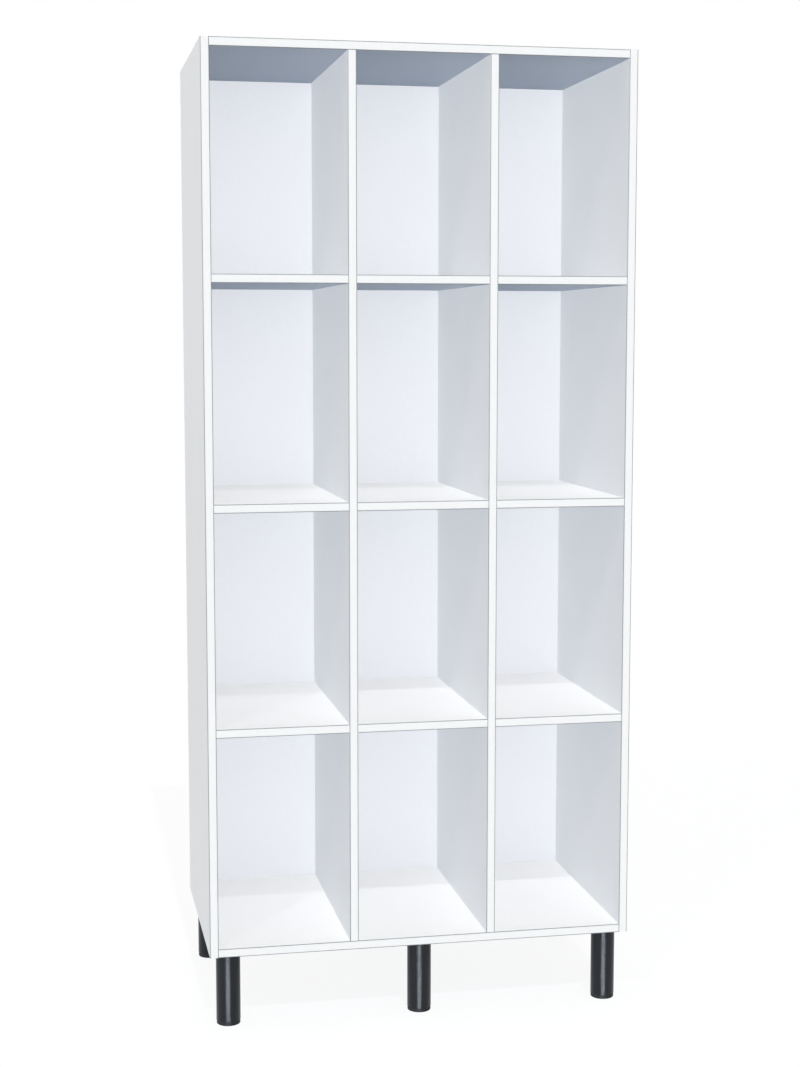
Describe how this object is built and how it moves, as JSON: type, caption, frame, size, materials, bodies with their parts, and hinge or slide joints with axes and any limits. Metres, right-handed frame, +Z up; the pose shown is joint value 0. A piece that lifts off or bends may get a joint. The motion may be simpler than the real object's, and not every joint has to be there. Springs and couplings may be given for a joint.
{
  "type": "cubby locker",
  "caption": "Tall open cubby locker in white board: columns of equal open cubbies with a closed back, on plain round black legs with levelling feet.",
  "frame": {"origin": "on the floor, under the middle of the unit", "axes": "+Z up, the open front faces -Y, +X to the right seen from the front"},
  "size_m": [0.9, 0.5, 2.02],
  "materials": {
    "white_board": "white melamine-faced particleboard, fine matt texture, raw at the rear edges",
    "white_back": "white-faced hardboard, smooth front, plain brown rear",
    "white_edging": "white edging strip, satin, bevel trimmed",
    "black_steel": "black powder coat, satin",
    "black_nylon": "moulded nylon, matt",
    "zinc_steel": "zinc plated"
  },
  "bodies": {
    "carcass": {"left_side": "white_board", "right_side": "white_board", "top_panel": "white_board", "bottom_panel": "white_board", "left_divider": "white_board", "right_divider": "white_board", "upper_shelf_left": "white_board", "upper_shelf_middle": "white_board", "upper_shelf_right": "white_board", "middle_shelf_left": "white_board", "middle_shelf_middle": "white_board", "middle_shelf_right": "white_board", "lower_shelf_left": "white_board", "lower_shelf_middle": "white_board", "lower_shelf_right": "white_board", "back_panel": "white_back", "left_side_bands": "white_edging", "right_side_bands": "white_edging", "top_band": "white_edging", "bottom_band": "white_edging", "left_divider_band": "white_edging", "right_divider_band": "white_edging", "upper_shelf_bands": "white_edging", "middle_shelf_bands": "white_edging", "lower_shelf_bands": "white_edging", "front_leg_tubes": "black_steel", "rear_leg_tubes": "black_steel", "leg_bolts": "zinc_steel", "leg_plugs": "black_nylon"},
    "foot_front_left": {"foot_pad_front_left": "black_nylon"},
    "stud_front_left": {"levelling_stud_front_left": "zinc_steel"},
    "foot_front_middle": {"foot_pad_front_middle": "black_nylon"},
    "stud_front_middle": {"levelling_stud_front_middle": "zinc_steel"},
    "foot_front_right": {"foot_pad_front_right": "black_nylon"},
    "stud_front_right": {"levelling_stud_front_right": "zinc_steel"},
    "foot_rear_left": {"foot_pad_rear_left": "black_nylon"},
    "stud_rear_left": {"levelling_stud_rear_left": "zinc_steel"},
    "foot_rear_middle": {"foot_pad_rear_middle": "black_nylon"},
    "stud_rear_middle": {"levelling_stud_rear_middle": "zinc_steel"},
    "foot_rear_right": {"foot_pad_rear_right": "black_nylon"},
    "stud_rear_right": {"levelling_stud_rear_right": "zinc_steel"}
  },
  "joints": [
    {"name": "foot_front_left_travel", "type": "slide", "parent": "carcass", "child": "foot_front_left", "axis": [0, 0, -1], "range_m": [0, 0.015]},
    {"name": "stud_front_left_turn", "type": "hinge", "parent": "foot_front_left", "child": "stud_front_left", "pos_m": [-0.409, -0.209, 0.03], "axis": [0, 0, -1], "range_deg": [0, 3600]},
    {"name": "foot_front_middle_travel", "type": "slide", "parent": "carcass", "child": "foot_front_middle", "axis": [0, 0, -1], "range_m": [0, 0.015]},
    {"name": "stud_front_middle_turn", "type": "hinge", "parent": "foot_front_middle", "child": "stud_front_middle", "pos_m": [0, -0.209, 0.03], "axis": [0, 0, -1], "range_deg": [0, 3600]},
    {"name": "foot_front_right_travel", "type": "slide", "parent": "carcass", "child": "foot_front_right", "axis": [0, 0, -1], "range_m": [0, 0.015]},
    {"name": "stud_front_right_turn", "type": "hinge", "parent": "foot_front_right", "child": "stud_front_right", "pos_m": [0.409, -0.209, 0.03], "axis": [0, 0, -1], "range_deg": [0, 3600]},
    {"name": "foot_rear_left_travel", "type": "slide", "parent": "carcass", "child": "foot_rear_left", "axis": [0, 0, -1], "range_m": [0, 0.015]},
    {"name": "stud_rear_left_turn", "type": "hinge", "parent": "foot_rear_left", "child": "stud_rear_left", "pos_m": [-0.409, 0.2235, 0.03], "axis": [0, 0, -1], "range_deg": [0, 3600]},
    {"name": "foot_rear_middle_travel", "type": "slide", "parent": "carcass", "child": "foot_rear_middle", "axis": [0, 0, -1], "range_m": [0, 0.015]},
    {"name": "stud_rear_middle_turn", "type": "hinge", "parent": "foot_rear_middle", "child": "stud_rear_middle", "pos_m": [0, 0.2235, 0.03], "axis": [0, 0, -1], "range_deg": [0, 3600]},
    {"name": "foot_rear_right_travel", "type": "slide", "parent": "carcass", "child": "foot_rear_right", "axis": [0, 0, -1], "range_m": [0, 0.015]},
    {"name": "stud_rear_right_turn", "type": "hinge", "parent": "foot_rear_right", "child": "stud_rear_right", "pos_m": [0.409, 0.2235, 0.03], "axis": [0, 0, -1], "range_deg": [0, 3600]}
  ],
  "couplings": [
    {"joint": "stud_front_left_turn", "follows": "foot_front_left_travel", "rad_per_m": 4188.8},
    {"joint": "stud_front_middle_turn", "follows": "foot_front_middle_travel", "rad_per_m": 4188.8},
    {"joint": "stud_front_right_turn", "follows": "foot_front_right_travel", "rad_per_m": 4188.8},
    {"joint": "stud_rear_left_turn", "follows": "foot_rear_left_travel", "rad_per_m": 4188.8},
    {"joint": "stud_rear_middle_turn", "follows": "foot_rear_middle_travel", "rad_per_m": 4188.8},
    {"joint": "stud_rear_right_turn", "follows": "foot_rear_right_travel", "rad_per_m": 4188.8}
  ]
}
